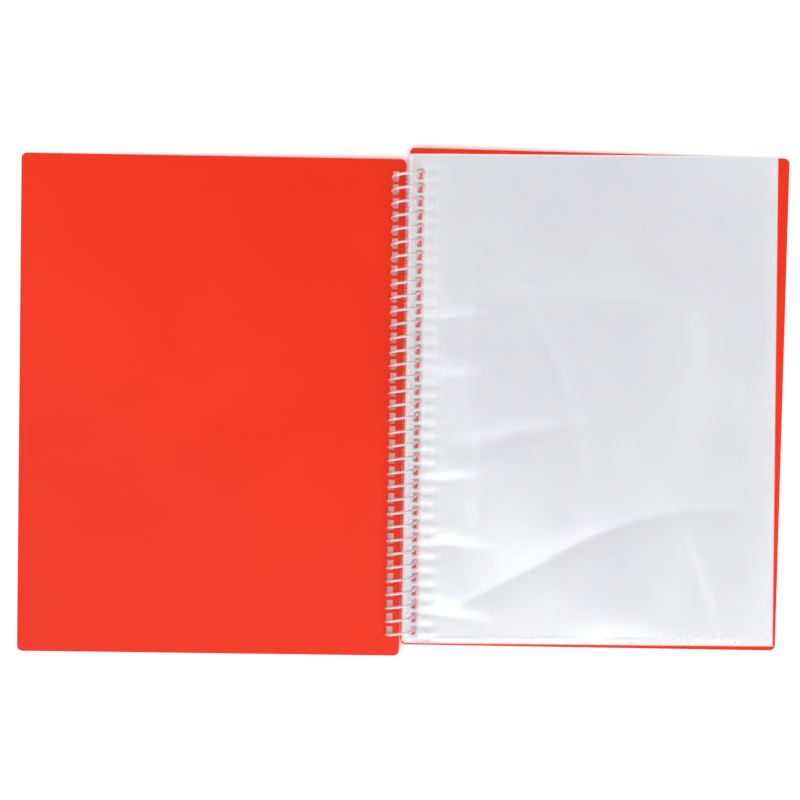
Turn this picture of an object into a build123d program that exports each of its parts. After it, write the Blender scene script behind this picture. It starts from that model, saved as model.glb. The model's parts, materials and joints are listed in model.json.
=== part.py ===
from build123d import *
import os
from math import asin, atan2, cos, degrees, hypot, pi, radians, sin, sqrt

# A display book of clear pockets on a plastic coil, lying open at its front cover.
# +Z is up, the coil runs along Y, and the pockets lie on the back cover at +X.
# The origin is on the table, under the middle of the coil.

# Covers, in millimetres
COVER_WIDTH = 241.5
COVER_HEIGHT = 314.0
COVER_THICKNESS = 0.8
COVER_CORNER = 3.5

# Pockets: a punched back film and a front film, welded on three sides and open at the top
POCKET_COUNT = 10
POCKET_WIDTH = 232.0
POCKET_HEIGHT = 309.0
FILM_THICKNESS = 0.12
SPINE_WELD = 17.0

# Coil and the row of holes that it threads
COIL_DIAMETER = 19.7
COIL_PITCH = 8.467
WIRE_DIAMETER = 1.7
WIRE_SIDES = 4
HOLE_MARGIN = 6.3
HOLE_END_MARGIN = 8.0
END_TURN = 35.0

# Seats and clearances
COVER_DROP = 5.9
LEAF_GAP = 0.3
HOLE_END_PLAY = 0.3
HOLE_SIDE_PLAY = 0.5

POCKET_TURN = 180.0
HALF_TURN = 180.0
FULL_TURN = 360.0

# The coil's axis, and the circle that the middle of its wire follows
AXIS_Z = COIL_DIAMETER / 2
COIL_RADIUS = (COIL_DIAMETER - WIRE_DIAMETER) / 2
LEAD = COIL_PITCH / (2 * pi * COIL_RADIUS)

# As many holes as every leaf has room for, an odd number, with one on the leaf's middle
shortest_leaf = min(COVER_HEIGHT, POCKET_HEIGHT)
holes_each_way = int((shortest_leaf / 2 - HOLE_END_MARGIN) / COIL_PITCH)
HOLE_COUNT = 2 * holes_each_way + 1


def hole_reach(middle):
    """How far from the axis, along a leaf, its holes lie. The leaf's middle is that high over the axis."""
    return sqrt(COIL_RADIUS**2 - middle**2)


# Each cover slopes from the coil down to its fore edge, which lies on the table
cover_middle = -COVER_DROP
cover_fore_edge = hole_reach(cover_middle) - HOLE_MARGIN + COVER_WIDTH
cover_underside = COVER_DROP + COVER_THICKNESS / 2
TILT = asin(AXIS_Z / hypot(cover_underside, cover_fore_edge)) - atan2(cover_underside, cover_fore_edge)

# One plane through the coil's axis for the leaves on each side, sloped like the covers
right_side = Plane((0, 0, AXIS_Z), x_dir=(cos(TILT), 0, -sin(TILT)), z_dir=(sin(TILT), 0, cos(TILT)))
left_side = Plane((0, 0, AXIS_Z), x_dir=(-cos(TILT), 0, -sin(TILT)), z_dir=(-sin(TILT), 0, cos(TILT)))

# The stack of pockets, from the gap over the back cover to the top film
pocket_step = 2 * FILM_THICKNESS + LEAF_GAP
lowest_pocket = cover_middle + COVER_THICKNESS / 2 + LEAF_GAP
stack_top = lowest_pocket + POCKET_COUNT * pocket_step - LEAF_GAP
top_fore_edge = hole_reach(stack_top - FILM_THICKNESS) - HOLE_MARGIN + POCKET_WIDTH

# The front cover closes until its inner face is one gap above the top pocket's fore edge
inner_face = COVER_DROP - COVER_THICKNESS / 2
closed_height = stack_top + LEAF_GAP
closed_slope = asin(inner_face / hypot(top_fore_edge, closed_height)) - atan2(closed_height, top_fore_edge)
COVER_TURN = HALF_TURN + degrees(closed_slope + 2 * TILT)

# A hole is long enough for the wire to wander along it as the leaf turns about the coil
crossing = asin(COVER_DROP / COIL_RADIUS)
wire_breadth = WIRE_DIAMETER / cos(crossing) + COVER_THICKNESS * sin(crossing) / cos(crossing)
HOLE_WIDTH = wire_breadth + 2 * HOLE_SIDE_PLAY
HOLE_TRAVEL = COIL_PITCH * max(COVER_TURN, POCKET_TURN) / FULL_TURN
HOLE_LENGTH = HOLE_TRAVEL + WIRE_DIAMETER * hypot(1, LEAD) + 2 * HOLE_END_PLAY


def leaf_shift(middle):
    """Where the coil's middle turn passes a leaf, along the spine. The leaf is centred there."""
    return COIL_PITCH * (90 - degrees(asin(middle / COIL_RADIUS) - TILT)) / FULL_TURN


def punch_holes(middle):
    """Cut the row of holes in the sketch of a leaf."""
    with Locations((hole_reach(middle), leaf_shift(middle) - HOLE_TRAVEL / 2)):
        with GridLocations(0, COIL_PITCH, 1, HOLE_COUNT):
            Rectangle(HOLE_WIDTH, HOLE_LENGTH, mode=Mode.SUBTRACT)


def coil_point(angle):
    """The middle of the wire where it stands at an angle about the axis, from +X up towards +Z."""
    turn = radians(angle)
    along = COIL_PITCH * (90 - angle) / FULL_TURN
    return Vector(COIL_RADIUS * cos(turn), along, AXIS_Z + COIL_RADIUS * sin(turn))


def coil_direction(angle):
    """The way the wire runs there, towards +Y."""
    turn = radians(angle)
    return Vector(sin(turn), LEAD, -cos(turn)).normalized()


def biarc(start, end, start_direction, end_direction):
    """Two tangent arcs from one point and direction to another."""
    chord = end - start
    both = start_direction + end_direction
    a = both.dot(both) - 4
    b = -2 * chord.dot(both)
    c = chord.dot(chord)
    reach = (-b - sqrt(b * b - 4 * a * c)) / (2 * a)
    near = start + start_direction * reach
    far = end - end_direction * reach
    meeting = (near + far) * 0.5
    TangentArc(start, meeting, tangent=start_direction)
    TangentArc(meeting, end, tangent=far - near)


def least_gap():
    """The least room between one turn of the coil and the next, on points along the wire."""
    steps = 24
    points = [coil_point(FULL_TURN * i / steps) for i in range(3 * steps)]
    gaps = [
        (points[i] - points[j]).length
        for i in range(steps)
        for j in range(i + steps // 2, len(points))
    ]
    return min(gaps) - WIRE_DIAMETER


os.makedirs("parts", exist_ok=True)

# Back cover, under the pockets
with BuildPart() as back_cover:
    with BuildSketch(right_side.offset(cover_middle - COVER_THICKNESS / 2)):
        with Locations((cover_fore_edge - COVER_WIDTH / 2, leaf_shift(cover_middle))):
            RectangleRounded(COVER_WIDTH, COVER_HEIGHT, COVER_CORNER)
        punch_holes(cover_middle)
    extrude(amount=COVER_THICKNESS)
back_cover.part.label = "back_cover"
export_step(back_cover.part, "parts/back_cover.step")

# Front cover, turned open to the left with its inner face up
with BuildPart() as front_cover:
    with BuildSketch(left_side.offset(cover_middle - COVER_THICKNESS / 2)):
        with Locations((cover_fore_edge - COVER_WIDTH / 2, leaf_shift(cover_middle))):
            RectangleRounded(COVER_WIDTH, COVER_HEIGHT, COVER_CORNER)
        punch_holes(cover_middle)
    extrude(amount=COVER_THICKNESS)
front_cover.part.label = "front_cover"
export_step(front_cover.part, "parts/front_cover.step")

# Pockets, numbered from the top of the stack down
for number in range(1, POCKET_COUNT + 1):
    pocket_base = lowest_pocket + (POCKET_COUNT - number) * pocket_step
    pocket_middle = pocket_base + FILM_THICKNESS
    fore_edge = hole_reach(pocket_middle) - HOLE_MARGIN + POCKET_WIDTH
    front_width = POCKET_WIDTH - SPINE_WELD
    pocket_shift = leaf_shift(pocket_middle)

    with BuildPart() as back_film:
        with BuildSketch(right_side.offset(pocket_base)):
            with Locations((fore_edge - POCKET_WIDTH / 2, pocket_shift)):
                Rectangle(POCKET_WIDTH, POCKET_HEIGHT)
            punch_holes(pocket_middle)
        extrude(amount=FILM_THICKNESS)
    back_film.part.label = f"pocket_{number:02}_back_film"
    export_step(back_film.part, f"parts/{back_film.part.label}.step")

    with BuildPart() as front_film:
        with BuildSketch(right_side.offset(pocket_middle)):
            with Locations((fore_edge - front_width / 2, pocket_shift)):
                Rectangle(front_width, POCKET_HEIGHT)
        extrude(amount=FILM_THICKNESS)
    front_film.part.label = f"pocket_{number:02}_front_film"
    export_step(front_film.part, f"parts/{front_film.part.label}.step")

# Binding coil: one right-handed wire over every pair of holes, its ends tucked under the covers
right_crossing = -degrees(crossing + TILT)
left_crossing = HALF_TURN - right_crossing
turns_each_way = FULL_TURN * holes_each_way
first_angle = left_crossing + turns_each_way + END_TURN
last_angle = right_crossing - turns_each_way - END_TURN
half_turns = round((first_angle - last_angle) / HALF_TURN)
half_turn_step = (last_angle - first_angle) / half_turns

with BuildPart() as binding_coil:
    with BuildLine() as wire_path:
        for i in range(half_turns):
            begin = first_angle + i * half_turn_step
            finish = begin + half_turn_step
            biarc(coil_point(begin), coil_point(finish), coil_direction(begin), coil_direction(finish))
    with BuildSketch(Plane(coil_point(first_angle), z_dir=coil_direction(first_angle))):
        RegularPolygon(WIRE_DIAMETER / 2, WIRE_SIDES)
    sweep(path=wire_path.wire(), clean=False)
binding_coil.part.label = "binding_coil"
export_step(binding_coil.part, "parts/binding_coil.step")

section = WIRE_SIDES / 2 * (WIRE_DIAMETER / 2) ** 2 * sin(2 * pi / WIRE_SIDES)
print(f"coil: {wire_path.wire().length:.1f} mm of wire, {half_turns} half turns")
print(f"coil volume {binding_coil.part.volume:.1f}, section times length {section * wire_path.wire().length:.1f}")
print(f"coil: least gap to itself {least_gap():.2f} mm")
print(f"leaf slope {degrees(TILT):.3f} degrees, front cover closes through {COVER_TURN:.3f} degrees")
print(f"holes {HOLE_WIDTH:.2f} x {HOLE_LENGTH:.2f} mm, bridges of {COIL_PITCH - HOLE_LENGTH:.2f} mm")
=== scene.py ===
import json
import math
from bisect import bisect

import bmesh
import bpy
import numpy as np
from mathutils import Matrix, Vector, noise

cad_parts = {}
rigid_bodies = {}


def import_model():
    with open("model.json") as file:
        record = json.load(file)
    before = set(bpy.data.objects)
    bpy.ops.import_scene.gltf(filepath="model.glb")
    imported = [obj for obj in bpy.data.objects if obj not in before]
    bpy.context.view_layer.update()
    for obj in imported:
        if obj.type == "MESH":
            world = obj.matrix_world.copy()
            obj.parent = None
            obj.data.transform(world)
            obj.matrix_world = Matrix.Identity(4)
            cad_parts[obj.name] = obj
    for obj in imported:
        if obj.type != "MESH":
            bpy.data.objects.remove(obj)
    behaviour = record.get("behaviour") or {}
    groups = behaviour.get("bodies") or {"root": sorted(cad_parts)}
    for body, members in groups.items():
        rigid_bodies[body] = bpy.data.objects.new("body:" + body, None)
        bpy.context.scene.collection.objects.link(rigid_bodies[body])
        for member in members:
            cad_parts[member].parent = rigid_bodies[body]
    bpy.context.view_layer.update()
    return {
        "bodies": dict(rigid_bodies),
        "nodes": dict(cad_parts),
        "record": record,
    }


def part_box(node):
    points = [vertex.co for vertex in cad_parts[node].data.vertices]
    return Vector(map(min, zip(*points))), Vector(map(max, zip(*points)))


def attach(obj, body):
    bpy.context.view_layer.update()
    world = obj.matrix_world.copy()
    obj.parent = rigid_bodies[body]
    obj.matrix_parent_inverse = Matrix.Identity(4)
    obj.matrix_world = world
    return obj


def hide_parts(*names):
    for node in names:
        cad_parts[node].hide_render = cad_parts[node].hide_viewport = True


# The looks of a display book of clear pockets, lying open on a white table.
# Metres throughout. A leaf has its own frame: u across it from the coil's axis,
# v along the spine, w out of its upper face.

MM = 0.001
FULL_TURN = 2 * math.pi

# Places closer than SAME_PLACE are taken as one, a point within NEAR of a line lies on it, and
# a gap may be wider than its step by this share of the step
SAME_PLACE = 0.1 * MM
NEAR = 0.05 * MM
STEP_TOLERANCE = 0.01

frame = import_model()
record = frame["record"]
joints = record["behaviour"]["joints"]

POCKET_COUNT = sum(name.startswith("pocket_") for name in frame["bodies"])
AXIS_HEIGHT = joints[0]["pos_m"][2]
page_face = next(mount for mount in record["mounts"] if mount["name"] == "page_face")
LEAF_UP = Vector(page_face["axis"])

# Camera, fitted to the edges of the covers in the photograph
CAMERA_PLACE = (-40.0 * MM, 38.6 * MM, 1200 * MM)
CAMERA_TURN = (-1.771, -1.788, 0.889)
FOCAL_PIXELS = 1894.5
PICTURE_PIXELS = 800
SENSOR_WIDTH = 36.0

# Covers
COVER_CORNER = 3.5 * MM
CORNER_SEGMENTS = 8
HOLE_CLEAR = 1.5 * MM
COVER_EDGE_ROUND = 0.3 * MM
EDGE_SEGMENTS = 2
COVER_GRID = 12 * MM
BACK_COVER_SWING = math.radians(0.5)

# Films: their welds and edges, how white these are, and the share of the CAD thickness drawn
# The full white along the edges, set where the films are made, is a painted highlight; the welds
# are whiter film
WELD_HALF_WIDTH = 0.5 * MM
SPINE_WELD = 17 * MM
EDGE_LINE = 0.9 * MM
FILM_FILL = 0.8
SPINE_WELD_WHITE = 0.45
FORE_WELD_WHITE = 0.15
KNURL_WHITE = 0.25
FORE_WELD_INSET = 5.5 * MM

# The knurled weld along the foot, with dots on the top film; the patchy white on the dots is a
# painted sparkle
KNURL_LOW = 1.4 * MM
KNURL_HIGH = 5.8 * MM
KNURL_STEP = 1.25 * MM
KNURL_RISE = 0.45 * MM
KNURL_DOT_SPARKLE = 6.0
KNURL_DOT_LEVEL = 0.8
KNURL_PATCH = 45 * MM
KNURL_SEED = 5.2

# The grid of a film, and how the pile lies: its skew, its fan and the room that its folds have
TOP_FILM_GRID = 2.5 * MM
LOWER_FILM_GRID = 4 * MM
FILM_ROW = 2.3 * MM
SKEW_MIDDLE = 0.009
SKEW_SPREAD = 0.005
FOOT_ABOVE = 148 * MM
FOOT_SLANT = 1.2 * MM
FORE_EDGE_REACH = 1.6 * MM
FORE_EDGE_FAN = 0.05 * MM
FAN_STEP = 0.03
FORE_TAPER = 0.007
ROOM_AT_SPINE = 5.3 * MM
ROOM_AT_FORE_EDGE = 0.25 * MM
ROOM_SHARPNESS = 4
POCKET_REACH = 235 * MM

# Folds in the pile of films, in millimetres: the middle of the fold's foot in u and v, its
# direction in degrees, half its length, how far it bows to its left and leans to its far end,
# then the rise on its left side, the width over which it rises and the length over which it
# falls away again
FOLDS_MM = (
    (104, -104, 21, 100, 9, 1.2, 3.6, 46, 300),
    (104, -104, 201, 100, -9, -1.2, 1.6, 20, 40),
    (66, -22, 12, 32, 2, 0.0, 2.6, 14, 40),
    (74, -25, 195, 32, -2, 0.0, 1.8, 18, 34),
    (92, 22, -68, 46, 3, 0.0, 2.4, 18, 60),
    (118, 62, -3, 70, 3, 0.0, 1.8, 16, 60),
    (160, 105, -76, 44, -4, 0.0, -1.4, 16, 120),
    (45, 62, 85, 90, 2, 0.0, -1.8, 16, 40),
    (96, 128, -82, 44, 3, 0.0, 1.5, 16, 40),
    (128, 20, -72, 55, 4, 0.0, -1.2, 20, 100),
    (170, -22, -90, 50, 1, 0.0, -0.4, 9, 120),
    (43, -38, 84, 24, -4, 0.0, -1.8, 8, 20),
    (43, -80, 80, 22, -3, 0.0, -1.8, 8, 20),
    (30, 52, 6, 17, 1, 0.0, 1.9, 9, 20),
    (30, 15, 8, 17, 1, 0.0, 1.9, 9, 20),
    (30, -50, 6, 18, 1, 0.0, 2.2, 9, 20),
    (30, -91, -4, 18, 1, 0.0, 2.2, 9, 20),
    (30, -136, -6, 19, 1, 0.0, 2.0, 9, 20),
    (187, -114, -71, 40, 2, 0.0, 1.5, 6, 14),
    (189, 0, -90, 170, -9, 0.0, -0.3, 8, 400),
    (200, 0, -90, 170, 9, 0.0, 0.5, 6, 400),
    (132, -151, 4, 26, 2, 0.0, 1.3, 9, 40),
    (214, -151, 6, 15, 1, 0.0, 0.9, 6, 20),
)

# The rest of the pile's shape, in millimetres: the air trapped in it, which the spine holds down,
# slow drifts (one over the length, seed, height), and puckers beside the holes, stronger low down.
# A fold that would go below the flat place is eased off over FLOOR_SOFTNESS
PILE_RISE = 0.5
FLOOR_SOFTNESS = 0.25
SPINE_HOLD = 16
DRIFTS = ((0.026, 3.7, 0.35), (0.07, 9.1, 0.12))
DRIFT_ALONG = 0.4
DRIFT_LEVEL = 0.6
PUCKER_RISE = 0.7
PUCKER_MIDDLE = 14.5
PUCKER_WIDTH = 6.0
PUCKER_LEAST = 0.3
PUCKER_FADE = 25

# Coil: angles in degrees about its axis, from +X up
COIL_PITCH = 8.467 * MM
WIRE_RADIUS = 0.85 * MM
LEFT_CROSSING = 221.80
RIGHT_CROSSING = -41.80
TURNS_EACH_WAY = 17
END_TURN = 35
WIRE_SIDES = 12
STEPS_A_TURN = 28

# Looks of the films, and how many faces of clear film a ray may pass
HAZE = 0.08
HAZE_SPREAD = 0.012
MARGIN_HAZE = 0.075
WELD_AND_HIGHLIGHT_HAZE = 0.05
FILM_ROUGHNESS = 0.13
FILM_ROUGHNESS_SPREAD = 0.06
FILM_LAYERS_SEEN = 96

# Table, with a glow that fades where something stands close over it
TABLE_SIZE = 4
TABLE_WHITE = 0.9
TABLE_GLOW = 0.28
GLOW_FADE_REACH = 25 * MM
GLOW_FADE_SAMPLES = 8

# The room's light, dark towards one side and bright away from it, and the softboxes: their name,
# place, size and brightness
ROOM_COLOUR = (0.97, 0.98, 1.0, 1)
ROOM_DARK_SIDE = (0.45, 0.89, 0)
ROOM_DARK_AT = 0.12
ROOM_BRIGHT_AT = -0.2
ROOM_DARK = 0.22
ROOM_BRIGHT = 1.5
SOFTBOXES = (
    ("near_softbox", (-0.1, -1.08, 2.0), (1.9, 1.2), 1.05),
    ("right_softbox", (1.35, 0.1, 2.0), (0.9, 1.4), 1.6),
    ("left_softbox", (-1.2, 0.0, 2.0), (0.8, 1.4), 1.25),
)


def leaf_matrix(side):
    """From the frame of the leaves on one side, +1 right or -1 left, to the book's own."""
    across = Vector((side * LEAF_UP.z, 0, -LEAF_UP.x))
    along = Vector((0, side, 0))
    up = Vector((side * LEAF_UP.x, 0, LEAF_UP.z))
    turn = Matrix((across, along, up)).transposed().to_4x4()
    return Matrix.Translation((0, 0, AXIS_HEIGHT)) @ turn


right_leaf = leaf_matrix(1)
left_leaf = leaf_matrix(-1)


def leaf_points(node, leaf):
    """The corners of a CAD node, in the frame of its leaf."""
    back = leaf.inverted()
    return [back @ vertex.co for vertex in frame["nodes"][node].data.vertices]


def extent(points):
    """The lowest and highest corner of some points."""
    low = Vector(min(p[i] for p in points) for i in range(3))
    high = Vector(max(p[i] for p in points) for i in range(3))
    return low, high


def distinct(values):
    """Sorted values, with those at the same place taken as one."""
    kept = []
    for value in sorted(values):
        if not kept or value - kept[-1] > SAME_PLACE:
            kept.append(value)
    return kept


def hole_lines(points):
    """The lines across and along a leaf that its holes lie between."""
    low, high = extent(points)
    clear = COVER_CORNER + SAME_PLACE
    inner = [p for p in points if clear < p.x - low.x < high.x - low.x - clear]
    return distinct(p.x for p in inner), distinct(p.y for p in inner)


def filled(anchors, step):
    """The anchors in order, with each gap shared out so that none is wider than the step."""
    lines = [anchors[0]]
    for near, far in zip(anchors, anchors[1:]):
        parts = max(1, math.ceil((far - near) / step - STEP_TOLERANCE))
        lines += [near + (far - near) * i / parts for i in range(1, parts + 1)]
    return lines


def sheet_mesh(columns, rows):
    """A flat grid whose lines stand at the given places."""
    bm = bmesh.new()
    bmesh.ops.create_grid(bm, x_segments=len(columns) - 1, y_segments=len(rows) - 1, size=0.5)
    for vertex in bm.verts:
        column = round((vertex.co.x + 0.5) * (len(columns) - 1))
        row = round((vertex.co.y + 0.5) * (len(rows) - 1))
        vertex.co = (columns[column], rows[row], 0)
    return bm


def punch(bm, hole_columns, hole_rows):
    """Take out the faces that lie in the row of holes."""
    spans = list(zip(hole_rows[::2], hole_rows[1::2]))
    left, right = hole_columns
    inside = []
    for face in bm.faces:
        middle = face.calc_center_median()
        if left < middle.x < right and any(low < middle.y < high for low, high in spans):
            inside.append(face)
    bmesh.ops.delete(bm, geom=inside, context="FACES")


def add_piece(name, bm, body, node):
    """A new piece that rides on a body and stands for a CAD node."""
    mesh = bpy.data.meshes.new(name)
    bm.to_mesh(mesh)
    bm.free()
    piece = bpy.data.objects.new(name, mesh)
    bpy.context.scene.collection.objects.link(piece)
    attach(piece, body)
    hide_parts(node)
    return piece


def smooth(piece):
    """Shade a piece smooth."""
    for polygon in piece.data.polygons:
        polygon.use_smooth = True


def thicken(piece, thickness):
    """Make a sheet solid, with its middle where it was."""
    solid = piece.modifiers.new("thickness", "SOLIDIFY")
    solid.thickness = thickness
    solid.offset = 0


# Shader node groups

def new_group(name, inputs, outputs):
    """An empty node group, its inputs with their values, and its two ends."""
    group = bpy.data.node_groups.new(name, "ShaderNodeTree")
    for label, value in inputs:
        socket = group.interface.new_socket(label, in_out="INPUT", socket_type="NodeSocketFloat")
        socket.default_value = value
    for label in outputs:
        group.interface.new_socket(label, in_out="OUTPUT", socket_type="NodeSocketFloat")
    ends = group.nodes.new("NodeGroupInput"), group.nodes.new("NodeGroupOutput")
    return group, *ends


def make_mottle_group():
    """A soft cloudy value between Low and High, for colour, haze and gloss that vary."""
    group, start, end = new_group("mottle", (("Scale", 10), ("Low", 0), ("High", 1)), ("Value",))
    place = group.nodes.new("ShaderNodeTexCoord")
    clouds = group.nodes.new("ShaderNodeTexNoise")
    clouds.inputs["Detail"].default_value = 3
    clouds.inputs["Distortion"].default_value = 0.6
    spread = group.nodes.new("ShaderNodeMapRange")
    spread.interpolation_type = "SMOOTHSTEP"
    spread.inputs["From Min"].default_value = 0.3
    spread.inputs["From Max"].default_value = 0.7
    join = group.links.new
    join(place.outputs["Object"], clouds.inputs["Vector"])
    join(start.outputs["Scale"], clouds.inputs["Scale"])
    join(clouds.outputs["Fac"], spread.inputs["Value"])
    join(start.outputs["Low"], spread.inputs["To Min"])
    join(start.outputs["High"], spread.inputs["To Max"])
    join(spread.outputs["Result"], end.inputs["Value"])
    return group


def make_grain_group():
    """A fine even height, for the grain of the cover sheet."""
    group, start, end = new_group("grain", (("Scale", 1000), ("Detail", 2)), ("Height",))
    place = group.nodes.new("ShaderNodeTexCoord")
    grain = group.nodes.new("ShaderNodeTexNoise")
    join = group.links.new
    join(place.outputs["Object"], grain.inputs["Vector"])
    join(start.outputs["Scale"], grain.inputs["Scale"])
    join(start.outputs["Detail"], grain.inputs["Detail"])
    join(grain.outputs["Fac"], end.inputs["Height"])
    return group


mottle = make_mottle_group()
grain = make_grain_group()


# Materials

class Finish:
    """A material with one Principled shader, and short ways to add nodes in front of it."""

    def __init__(self, name):
        self.material = bpy.data.materials.new(name)
        self.material.use_nodes = True
        self.nodes = self.material.node_tree.nodes
        self.join = self.material.node_tree.links.new
        self.shader = self.nodes["Principled BSDF"]

    def set(self, **values):
        for label, value in values.items():
            self.shader.inputs[label.replace("_", " ")].default_value = value

    def group(self, tree, output, **values):
        node = self.nodes.new("ShaderNodeGroup")
        node.node_tree = tree
        for label, value in values.items():
            node.inputs[label].default_value = value
        return node.outputs[output]

    def colours(self, factor, first, second, under=None):
        """A mix of two colours. The first may come from another node."""
        mix = self.nodes.new("ShaderNodeMix")
        mix.data_type = "RGBA"
        first_socket, second_socket = [socket for socket in mix.inputs if socket.type == "RGBA"]
        second_socket.default_value = (*second, 1)
        if under:
            self.join(under, first_socket)
        else:
            first_socket.default_value = (*first, 1)
        self.join(factor, mix.inputs["Factor"])
        return [socket for socket in mix.outputs if socket.type == "RGBA"][0]

    def math(self, operation, *values):
        node = self.nodes.new("ShaderNodeMath")
        node.operation = operation
        for socket, value in zip(node.inputs, values):
            if isinstance(value, bpy.types.NodeSocket):
                self.join(value, socket)
            else:
                socket.default_value = value
        return node.outputs["Value"]

    def attribute(self, name):
        node = self.nodes.new("ShaderNodeAttribute")
        node.attribute_name = name
        return node.outputs["Fac"]

    def bump(self, height, strength, distance):
        node = self.nodes.new("ShaderNodeBump")
        node.inputs["Strength"].default_value = strength
        node.inputs["Distance"].default_value = distance
        self.join(height, node.inputs["Height"])
        self.join(node.outputs["Normal"], self.shader.inputs["Normal"])

    def feed(self, label, socket):
        self.join(socket, self.shader.inputs[label])


def make_cover_finish():
    """Red polypropylene sheet with a fine satin grain, thin enough to pass some red light."""
    cover = Finish("red_cover_sheet")
    cover.feed("Base Color", cover.colours(
        cover.group(mottle, "Value", Scale=7.0), (0.84, 0.025, 0.002), (0.875, 0.029, 0.003)))
    cover.feed("Roughness", cover.group(mottle, "Value", Scale=35.0, Low=0.40, High=0.44))
    cover.bump(cover.group(grain, "Height", Scale=2600.0, Detail=2.0), 0.10, 0.05 * MM)
    cover.set(Specular_IOR_Level=0.2)
    glow = cover.nodes.new("ShaderNodeBsdfTransparent")
    glow.inputs["Color"].default_value = (0.8, 0.05, 0.04, 1)
    path = cover.nodes.new("ShaderNodeLightPath")
    sheet = cover.nodes.new("ShaderNodeMixShader")
    cover.join(path.outputs["Is Shadow Ray"], sheet.inputs["Fac"])
    cover.join(cover.shader.outputs["BSDF"], sheet.inputs[1])
    cover.join(glow.outputs["BSDF"], sheet.inputs[2])
    cover.join(sheet.outputs["Shader"], cover.nodes["Material Output"].inputs["Surface"])
    return cover.material


def make_film_finish():
    """Clear film, slightly milky, more so on the punched margin, whiter along welds, with a painted
    highlight along edges and a painted sparkle on the knurl dots.
    """
    film = Finish("clear_film")
    clouds = film.group(mottle, "Value", Scale=9.0)
    # The white mark makes the film whiter and less clear: along welds it is their own white, along
    # the edges a painted highlight, on the knurl dots a painted sparkle
    welds_and_painted_highlights = film.attribute("weld_and_painted_highlight")
    tint = film.colours(clouds, (0.745, 0.83, 0.865), (0.76, 0.835, 0.855))
    film.feed("Base Color", film.colours(welds_and_painted_highlights, None, (0.98, 0.98, 0.98), tint))
    haze = film.math("MULTIPLY_ADD", clouds, HAZE_SPREAD, HAZE)
    margin = film.math("MULTIPLY_ADD", film.attribute("margin"), MARGIN_HAZE, haze)
    film.feed("Alpha", film.math("MULTIPLY_ADD", welds_and_painted_highlights, WELD_AND_HIGHLIGHT_HAZE, margin))
    film.feed("Roughness", film.math("MULTIPLY_ADD", clouds, FILM_ROUGHNESS_SPREAD, FILM_ROUGHNESS))
    film.set(IOR=2.6)
    return film.material


def make_coil_finish():
    """Clear plastic wire, a little cloudy."""
    coil = Finish("clear_coil_plastic")
    coil.feed("Base Color", coil.colours(
        coil.group(mottle, "Value", Scale=120.0), (0.93, 0.93, 0.94), (0.98, 0.98, 0.98)))
    coil.feed("Roughness", coil.group(mottle, "Value", Scale=300.0, Low=0.04, High=0.09))
    coil.set(IOR=1.46, Transmission_Weight=0.62, Coat_Weight=1.0, Coat_IOR=2.2, Coat_Roughness=0.1)
    return coil.material


cover_finish = make_cover_finish()
film_finish = make_film_finish()
coil_finish = make_coil_finish()


# Covers

def make_cover(node, body, leaf, swing):
    """A cover sheet. Its outline may lie turned a little about its row of holes, which stays."""
    points = leaf_points(node, leaf)
    low, high = extent(points)
    hole_columns, hole_rows = hole_lines(points)
    columns = [low.x] + filled([*hole_columns, high.x], COVER_GRID)
    rows = [low.y, *hole_rows, high.y]
    bm = sheet_mesh(columns, rows)
    punch(bm, hole_columns, hole_rows)
    middle = (low + high) / 2
    for vertex in bm.verts:
        u, v, _ = vertex.co
        if u > hole_columns[1] + NEAR or abs(v - low.y) < NEAR or abs(v - high.y) < NEAR:
            vertex.co.y = v - swing * (u - middle.x)
        if u > hole_columns[1] + NEAR:
            vertex.co.x = u + swing * (v - middle.y)
        if u < hole_columns[0] - NEAR:
            vertex.co.x = u + max(0, swing * (v - middle.y))
    corners = [vertex for vertex in bm.verts if len(vertex.link_edges) == 2 and not any(
        abs(vertex.co.y - row) < HOLE_CLEAR for row in hole_rows)]
    bmesh.ops.bevel(bm, geom=corners, offset=COVER_CORNER, offset_type="OFFSET",
                    affect="VERTICES", segments=CORNER_SEGMENTS, profile=0.5, material=-1)
    bm.transform(leaf @ Matrix.Translation((0, 0, (low.z + high.z) / 2)))
    cover = add_piece(f"{node}_sheet", bm, body, node)
    thicken(cover, high.z - low.z)
    edges = cover.modifiers.new("edges", "BEVEL")
    edges.width = COVER_EDGE_ROUND
    edges.segments = EDGE_SEGMENTS
    edges.limit_method = "ANGLE"
    cover.data.materials.append(cover_finish)


make_cover("back_cover", "binding", right_leaf, BACK_COVER_SWING)
make_cover("front_cover", "front_cover", left_leaf, 0)


# Pockets

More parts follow.
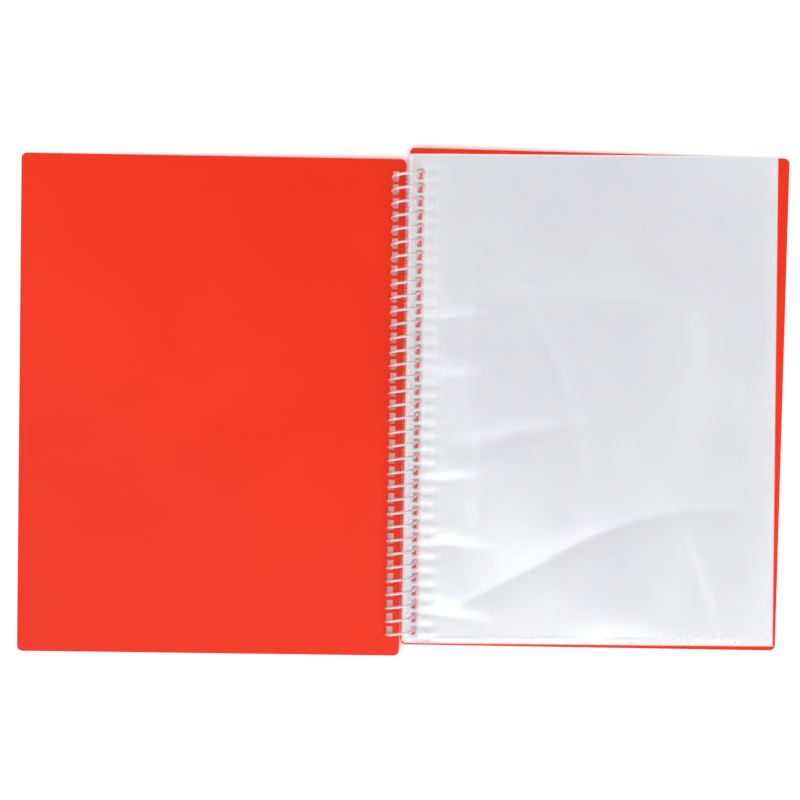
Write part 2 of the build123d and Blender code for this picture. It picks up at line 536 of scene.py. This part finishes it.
def fold_rise(u, v, pitch, hole_line):
    """How high the films stand over their flat place, in millimetres, as u and v are."""
    rise = np.full_like(u, PILE_RISE)
    for middle_u, middle_v, direction, half, bow, lean, height, near, far in FOLDS_MM:
        turn = math.radians(direction)
        along = ((u - middle_u) * math.cos(turn) + (v - middle_v) * math.sin(turn)) / half
        aside = (v - middle_v) * math.cos(turn) - (u - middle_u) * math.sin(turn)
        aside = np.maximum(aside - bow * (1 - along**2) * (1 + lean * along), 0)
        rise += height * np.exp(-along**2) * (1 - np.exp(-aside / near)) * np.exp(-aside / far)
    for scale, seed, height in DRIFTS:
        drift = [noise.noise(Vector((a * scale, b * scale * DRIFT_ALONG, seed)))
                 for a, b in zip(u, v)]
        rise += height * (DRIFT_LEVEL + np.array(drift))
    lower = PUCKER_LEAST + (1 - PUCKER_LEAST) / (1 + np.exp(v / PUCKER_FADE))
    ring = 0.5 + 0.5 * np.cos(FULL_TURN * (v - hole_line) / pitch)
    rise *= 1 - np.exp(-(u / SPINE_HOLD)**2)
    rise += PUCKER_RISE * lower * ring**2 * np.exp(-((u - PUCKER_MIDDLE) / PUCKER_WIDTH)**2)
    rise = FLOOR_SOFTNESS * np.logaddexp(0, rise / FLOOR_SOFTNESS)
    room = np.interp(u, (0, POCKET_REACH / MM), (ROOM_AT_SPINE / MM, ROOM_AT_FORE_EDGE / MM))
    return rise / (1 + (rise / room)**ROOM_SHARPNESS)**(1 / ROOM_SHARPNESS)


def lay_film(bm, hole_middle, hole_rows, half_height, fore_edge, fan):
    """Skew a flat film as it lies in the photograph, set its fore edge, and raise its folds."""
    places = np.array([vertex.co[:2] for vertex in bm.verts])
    pitch = hole_rows[2] - hole_rows[0]
    rises = fold_rise(places[:, 0] / MM, places[:, 1] / MM, pitch / MM, hole_rows[0] / MM) * MM
    width = max(places[:, 0]) - hole_middle
    stretch = (fore_edge - max(places[:, 0])) / width
    for vertex, rise in zip(bm.verts, rises):
        u, v, _ = vertex.co
        reach = u - hole_middle
        up = v / half_height
        foot = min(1, max(0, (-v - FOOT_ABOVE) / (half_height - FOOT_ABOVE)))
        skew = fan * reach * (SKEW_MIDDLE + SKEW_SPREAD * up)
        vertex.co.y = v + skew + FOOT_SLANT * foot * (1 - reach / width)
        vertex.co.x = u + stretch * reach - fan * FORE_TAPER * reach * up
        vertex.co.z = rise


def mark(bm, name, value):
    """A value on each point, which the finish reads."""
    layer = bm.verts.layers.float.new(name)
    for vertex in bm.verts:
        vertex[layer] = float(value(vertex.co))


def make_film(node, body, step, holes, fore_edge, fan, punched, knurled=False):
    """One film of a pocket, and its flat size. The back film is punched."""
    low, high = extent(leaf_points(node, right_leaf))
    hole_columns, hole_rows = holes
    fore_weld = high.x - FORE_WELD_INSET
    knurl = (low.y + KNURL_LOW, low.y + KNURL_HIGH)
    across = [fore_weld - WELD_HALF_WIDTH, fore_weld, fore_weld + WELD_HALF_WIDTH,
              high.x - EDGE_LINE, high.x]
    spine_weld = low.x + (SPINE_WELD if punched else 0)
    if punched:
        inner = [*hole_columns, spine_weld - WELD_HALF_WIDTH, spine_weld,
                 spine_weld + WELD_HALF_WIDTH]
        columns = [low.x, low.x + EDGE_LINE] + filled([*inner, *across], step)
    else:
        columns = filled([low.x, low.x + WELD_HALF_WIDTH, *across], step)
    along = [low.y, low.y + EDGE_LINE, *knurl, *hole_rows, high.y - EDGE_LINE, high.y]
    rows = filled(distinct(along), FILM_ROW)
    bm = sheet_mesh(columns, rows)
    if punched:
        punch(bm, hole_columns, hole_rows)
    # How white each line is: the welds are whiter film, and the 1.0 on the edges is a painted
    # highlight
    lines_u = {low.x: 1.0 if punched else SPINE_WELD_WHITE, spine_weld: SPINE_WELD_WHITE,
               fore_weld: FORE_WELD_WHITE, high.x: 1.0}
    lines_v = {low.y: 1.0, knurl[0]: KNURL_WHITE, knurl[1]: KNURL_WHITE, high.y: 1.0}
    mark(bm, "weld_and_painted_highlight", lambda p: max(
        [white for line, white in lines_u.items() if abs(p.x - line) < NEAR]
        + [white for line, white in lines_v.items() if abs(p.y - line) < NEAR] + [0.0]))
    mark(bm, "margin", lambda p: punched and p.x < spine_weld - NEAR)
    dots = [vertex for vertex in bm.verts
            if knurled and knurl[0] + NEAR < vertex.co.y < knurl[1] - NEAR
            and bisect(columns, vertex.co.x - NEAR) % 2]
    middle_v = (low.y + high.y) / 2
    bmesh.ops.translate(bm, vec=(0, -middle_v, 0), verts=bm.verts)
    lay_film(bm, sum(hole_columns) / 2, hole_rows, (high.y - low.y) / 2, fore_edge, fan)
    for dot in dots:
        dot.co.z += KNURL_RISE * (1 - dot.co.x / POCKET_REACH)
        # The patchy white on the dots is a painted sparkle
        patch = noise.noise(Vector((dot.co.x / KNURL_PATCH, 0, KNURL_SEED)))
        dot[bm.verts.layers.float["weld_and_painted_highlight"]] = KNURL_DOT_SPARKLE * (KNURL_DOT_LEVEL + patch)
    bm.transform(right_leaf @ Matrix.Translation((0, middle_v, (low.z + high.z) / 2)))
    film = add_piece(f"{node}_sheet", bm, body, node)
    smooth(film)
    thicken(film, FILM_FILL * (high.z - low.z))
    film.data.materials.append(film_finish)
    film.visible_shadow = False
    film.visible_diffuse = False
    flat = (high.x - low.x, high.y - low.y)
    return film, flat


top_fore_edge = extent(leaf_points("pocket_01_front_film", right_leaf))[1].x + FORE_EDGE_REACH
for number in range(1, POCKET_COUNT + 1):
    body = f"pocket_{number:02}"
    step = TOP_FILM_GRID if number == 1 else LOWER_FILM_GRID
    holes = hole_lines(leaf_points(f"{body}_back_film", right_leaf))
    fan = 1 - FAN_STEP * (number - 1)
    fore_edge = top_fore_edge - FORE_EDGE_FAN * (number - 1)
    back_film, flat = make_film(f"{body}_back_film", body, step, holes, fore_edge, fan, True)
    front_step = KNURL_STEP if number == 1 else step
    front_film, front_flat = make_film(
        f"{body}_front_film", body, front_step, holes, fore_edge, fan, False, knurled=number == 1)


# Binding coil

def make_coil():
    """The clear wire, spun from the end of its path at the book's foot to the other end."""
    low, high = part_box("binding_coil")
    radius = (high.z - low.z) / 2 - WIRE_RADIUS
    first = math.radians(LEFT_CROSSING + 360 * TURNS_EACH_WAY + END_TURN)
    last = math.radians(RIGHT_CROSSING - 360 * TURNS_EACH_WAY - END_TURN)
    turn = first - last
    steps = round(turn / FULL_TURN * STEPS_A_TURN)
    bm = bmesh.new()
    bmesh.ops.create_circle(bm, segments=WIRE_SIDES, radius=WIRE_RADIUS)
    lead = math.atan2(COIL_PITCH, FULL_TURN * radius)
    along = COIL_PITCH * (math.pi / 2 - first) / FULL_TURN
    start = Vector((radius * math.cos(first), along, radius * math.sin(first)))
    facing = Matrix.Rotation(lead, 4, "X")
    around = Matrix.Rotation(-first, 4, "Y")
    bm.transform(Matrix.Translation(start + Vector((0, 0, AXIS_HEIGHT))) @ around @ facing)
    bmesh.ops.spin(bm, geom=bm.verts[:] + bm.edges[:], cent=(0, 0, AXIS_HEIGHT), axis=(0, 1, 0),
                   dvec=(0, COIL_PITCH * turn / FULL_TURN / steps, 0), angle=turn, steps=steps)
    bmesh.ops.holes_fill(bm, edges=[e for e in bm.edges if e.is_boundary])
    bmesh.ops.recalc_face_normals(bm, faces=bm.faces)
    coil = add_piece("binding_coil_wire", bm, "binding", "binding_coil")
    smooth(coil)
    coil.data.materials.append(coil_finish)


make_coil()


# Table, light and camera

def make_table_finish():
    """Plain white, with a glow for the rays that show the table, straight or through the book."""
    floor = Finish("white_table")
    floor.nodes.remove(floor.shader)
    matte = floor.nodes.new("ShaderNodeBsdfDiffuse")
    matte.inputs["Color"].default_value = (TABLE_WHITE, TABLE_WHITE, TABLE_WHITE, 1)
    nearby = floor.nodes.new("ShaderNodeAmbientOcclusion")
    nearby.samples = GLOW_FADE_SAMPLES
    nearby.inputs["Distance"].default_value = GLOW_FADE_REACH
    glow = floor.nodes.new("ShaderNodeEmission")
    floor.join(floor.math("MULTIPLY", nearby.outputs["AO"], TABLE_GLOW), glow.inputs["Strength"])
    bright = floor.nodes.new("ShaderNodeAddShader")
    floor.join(matte.outputs["BSDF"], bright.inputs[0])
    floor.join(glow.outputs["Emission"], bright.inputs[1])
    rays = floor.nodes.new("ShaderNodeLightPath").outputs
    seen = floor.math("MAXIMUM", rays["Is Camera Ray"], rays["Is Glossy Ray"])
    choose = floor.nodes.new("ShaderNodeMixShader")
    floor.join(floor.math("MAXIMUM", seen, rays["Is Transmission Ray"]), choose.inputs["Fac"])
    floor.join(matte.outputs["BSDF"], choose.inputs[1])
    floor.join(bright.outputs["Shader"], choose.inputs[2])
    floor.join(choose.outputs["Shader"], floor.nodes["Material Output"].inputs["Surface"])
    return floor.material


def make_table():
    """The white table that the book lies on."""
    bm = bmesh.new()
    bmesh.ops.create_grid(bm, x_segments=1, y_segments=1, size=TABLE_SIZE)
    mesh = bpy.data.meshes.new("table")
    bm.to_mesh(mesh)
    bm.free()
    table = bpy.data.objects.new("table", mesh)
    bpy.context.scene.collection.objects.link(table)
    mesh.materials.append(make_table_finish())


def make_world():
    """A room that is brighter on one side, and plain white beyond the table."""
    world = bpy.data.worlds.new("studio")
    bpy.context.scene.world = world
    world.use_nodes = True
    nodes = world.node_tree.nodes
    join = world.node_tree.links.new
    room = nodes["Background"]
    room.inputs["Color"].default_value = ROOM_COLOUR
    way = nodes.new("ShaderNodeTexCoord")
    apart = nodes.new("ShaderNodeVectorMath")
    apart.operation = "DOT_PRODUCT"
    apart.inputs[1].default_value = ROOM_DARK_SIDE
    join(way.outputs["Generated"], apart.inputs[0])
    rise = nodes.new("ShaderNodeMapRange")
    rise.interpolation_type = "SMOOTHSTEP"
    rise.inputs["From Min"].default_value = ROOM_DARK_AT
    rise.inputs["From Max"].default_value = ROOM_BRIGHT_AT
    rise.inputs["To Min"].default_value = ROOM_DARK
    rise.inputs["To Max"].default_value = ROOM_BRIGHT
    join(apart.outputs["Value"], rise.inputs["Value"])
    join(rise.outputs["Result"], room.inputs["Strength"])
    paper = nodes.new("ShaderNodeBackground")
    paper.inputs["Color"].default_value = (1, 1, 1, 1)
    paper.inputs["Strength"].default_value = 1
    path = nodes.new("ShaderNodeLightPath")
    choose = nodes.new("ShaderNodeMixShader")
    join(path.outputs["Is Camera Ray"], choose.inputs["Fac"])
    join(room.outputs["Background"], choose.inputs[1])
    join(paper.outputs["Background"], choose.inputs[2])
    join(choose.outputs["Shader"], nodes["World Output"].inputs["Surface"])


def softbox(name, place, size, brightness):
    """A panel that shines straight down, as bright as a world of that strength."""
    light = bpy.data.lights.new(name, "AREA")
    light.shape = "RECTANGLE"
    light.size, light.size_y = size
    light.energy = math.pi * size[0] * size[1] * brightness
    lamp = bpy.data.objects.new(name, light)
    lamp.location = place
    bpy.context.scene.collection.objects.link(lamp)


def make_camera():
    """The photograph's camera."""
    data = bpy.data.cameras.new("camera")
    data.sensor_width = SENSOR_WIDTH
    data.lens = FOCAL_PIXELS / PICTURE_PIXELS * SENSOR_WIDTH
    camera = bpy.data.objects.new("camera", data)
    camera.location = CAMERA_PLACE
    camera.rotation_euler = [math.radians(angle) for angle in CAMERA_TURN]
    bpy.context.scene.collection.objects.link(camera)
    bpy.context.scene.camera = camera


make_table()
make_world()
for name, place, size, brightness in SOFTBOXES:
    softbox(name, place, size, brightness)
make_camera()

scene = bpy.context.scene
scene.view_settings.view_transform = "Standard"
scene.cycles.transparent_max_bounces = FILM_LAYERS_SEEN
